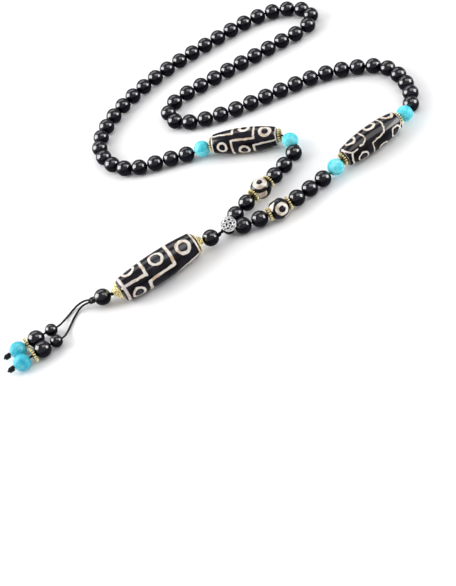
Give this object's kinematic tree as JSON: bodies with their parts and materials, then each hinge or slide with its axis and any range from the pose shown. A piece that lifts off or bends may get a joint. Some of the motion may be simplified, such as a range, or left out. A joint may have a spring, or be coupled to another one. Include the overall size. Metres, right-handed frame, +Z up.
{
  "type": "bead necklace",
  "caption": "Long beaded necklace of round black beads with turquoise beads, banded agate beads and gold discs, joined at a long banded pendant bead with a beaded cord tassel.",
  "frame": {"origin": "middle of the footprint of the necklace without its tassel, on the surface that it lies on", "axes": "+X along its longest extent, away from the tassel; +Y towards the long run of beads behind the neck; +Z up from the surface"},
  "size_m": [0.2299, 0.1858, 0.0143],
  "materials": {
    "black_stone": "polished black stone",
    "turquoise": "satin, mottled lighter and darker",
    "banded_agate": "polished, with ivory lines and rings",
    "gold": "bright gold plate",
    "silver": "silver openwork, slightly darkened",
    "thread": "twisted cord"
  },
  "bodies": {
    "root": {"loop_thread": "thread", "pendant_thread": "thread", "upper_string": "black_stone", "lower_string": "black_stone", "front_bead_1": "black_stone", "front_bead_2": "black_stone", "front_bead_3": "black_stone", "front_bead_4": "black_stone", "front_bead_5": "black_stone", "front_bead_6": "black_stone", "front_bead_7": "black_stone", "front_bead_8": "black_stone", "front_bead_9": "black_stone", "front_bead_10": "black_stone", "junction_bead": "black_stone", "turquoise_1": "turquoise", "turquoise_2": "turquoise", "turquoise_3": "turquoise", "turquoise_4": "turquoise", "round_dzi_1": "banded_agate", "round_dzi_2": "banded_agate", "side_dzi_1": "banded_agate", "side_dzi_2": "banded_agate", "gold_disc_1": "gold", "gold_disc_2": "gold", "gold_disc_3": "gold", "gold_disc_4": "gold", "gold_disc_5": "gold", "gold_disc_6": "gold", "gold_disc_7": "gold", "gold_disc_8": "gold", "silver_ball": "silver", "neck_bead": "black_stone", "upper_cap": "gold", "pendant_dzi": "banded_agate", "lower_cap": "gold", "tail_bead": "black_stone", "pendant_knot": "thread", "tassel_cord_a": "thread", "tassel_small_bead_a": "black_stone", "tassel_black_bead_a": "black_stone", "tassel_disc_a": "gold", "tassel_turquoise_a": "turquoise", "tassel_knot_a": "thread", "tassel_cord_b": "thread", "tassel_small_bead_b": "black_stone", "tassel_black_bead_b": "black_stone", "tassel_disc_b": "gold", "tassel_turquoise_b": "turquoise", "tassel_knot_b": "thread"}
  },
  "joints": []
}
